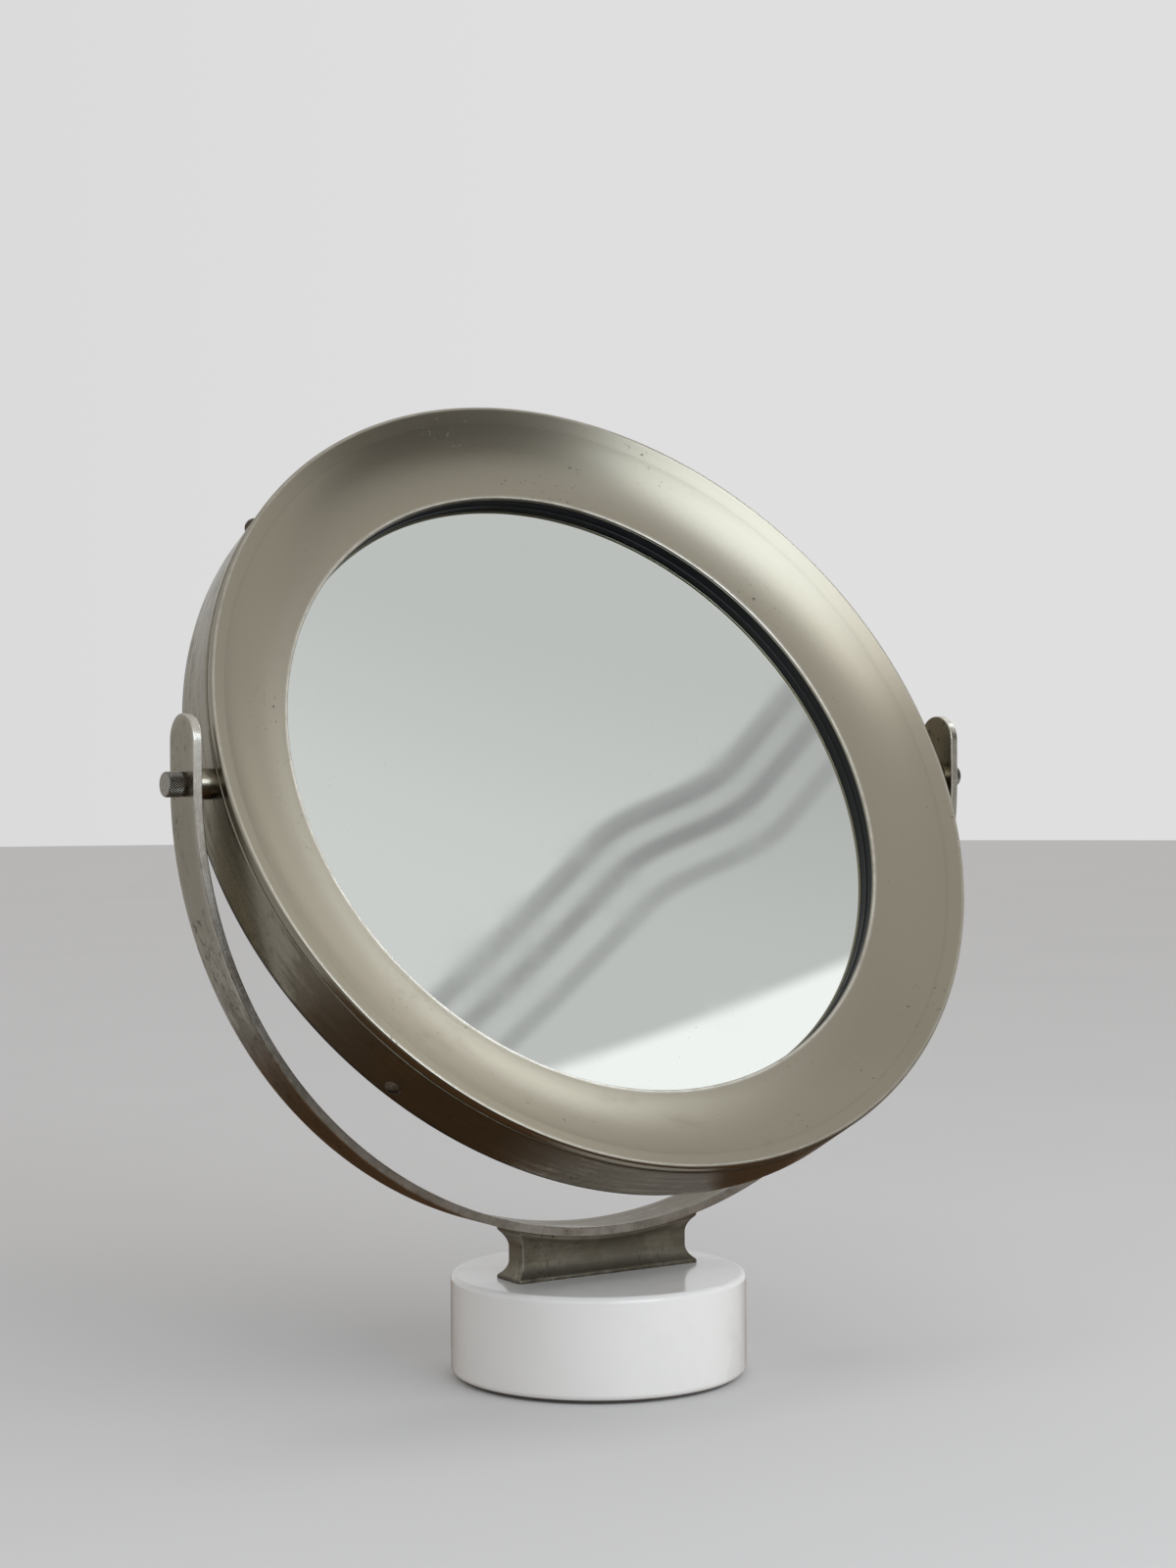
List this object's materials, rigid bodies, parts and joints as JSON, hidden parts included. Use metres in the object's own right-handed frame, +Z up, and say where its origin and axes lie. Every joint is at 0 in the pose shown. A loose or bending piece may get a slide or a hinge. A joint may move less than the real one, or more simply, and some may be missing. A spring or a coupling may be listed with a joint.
{
  "type": "tilting table mirror",
  "caption": "Round mirror in a dished satin nickel ring, tilting between the arms of a U yoke that stands on a waisted pedestal and a round white marble base.",
  "frame": {"origin": "centre of the felt pad's underside, on the surface that the mirror stands on", "axes": "+X to the user's right along the pivot axis, -Y towards the user, +Z up"},
  "size_m": [0.4754, 0.2346, 0.4986],
  "materials": {
    "marble": "polished white marble with faint grey clouds",
    "felt": "dark wool felt",
    "satin_nickel": "satin nickel plate, brushed along the strip, aged",
    "spun_nickel": "satin nickel plate, brushed round the ring, aged",
    "knurled_nickel": "nickel plate, diamond knurled",
    "zinc_steel": "zinc plated steel",
    "black_rubber": "matt black rubber",
    "silvered_glass": "clear float glass, silvered behind",
    "hardboard": "brown hardboard",
    "black_enamel": "satin black enamel on sheet steel",
    "blackened_steel": "blackened steel"
  },
  "bodies": {
    "stand": {"marble_base": "marble", "felt_pad": "felt", "pedestal": "satin_nickel", "yoke": "satin_nickel", "yoke_studs": "zinc_steel", "stud_washers": "zinc_steel", "stud_nuts": "zinc_steel"},
    "mirror_head": {"front_ring": "spun_nickel", "side_band": "spun_nickel", "glass_gasket": "black_rubber", "mirror_glass": "silvered_glass", "backing_pad": "felt", "backing_board": "hardboard", "rear_cover": "black_enamel", "cover_screws": "blackened_steel", "spacer_left": "satin_nickel", "spacer_right": "satin_nickel", "pivot_nut_left": "zinc_steel", "pivot_nut_right": "zinc_steel"},
    "thumb_screw_left": {"thumb_knob_left": "knurled_nickel", "thumb_stud_left": "zinc_steel", "knob_washer_left": "black_rubber"},
    "thumb_screw_right": {"thumb_knob_right": "knurled_nickel", "thumb_stud_right": "zinc_steel", "knob_washer_right": "black_rubber"}
  },
  "joints": [
    {"name": "tilt", "type": "hinge", "parent": "stand", "child": "mirror_head", "pos_m": [0, 0, 0.301], "axis": [1, 0, 0], "continuous": true},
    {"name": "thumb_turn_left", "type": "hinge", "parent": "mirror_head", "child": "thumb_screw_left", "pos_m": [-0.229, 0, 0.301], "axis": [-1, 0, 0], "continuous": true},
    {"name": "thumb_turn_right", "type": "hinge", "parent": "mirror_head", "child": "thumb_screw_right", "pos_m": [0.229, 0, 0.301], "axis": [1, 0, 0], "continuous": true}
  ]
}
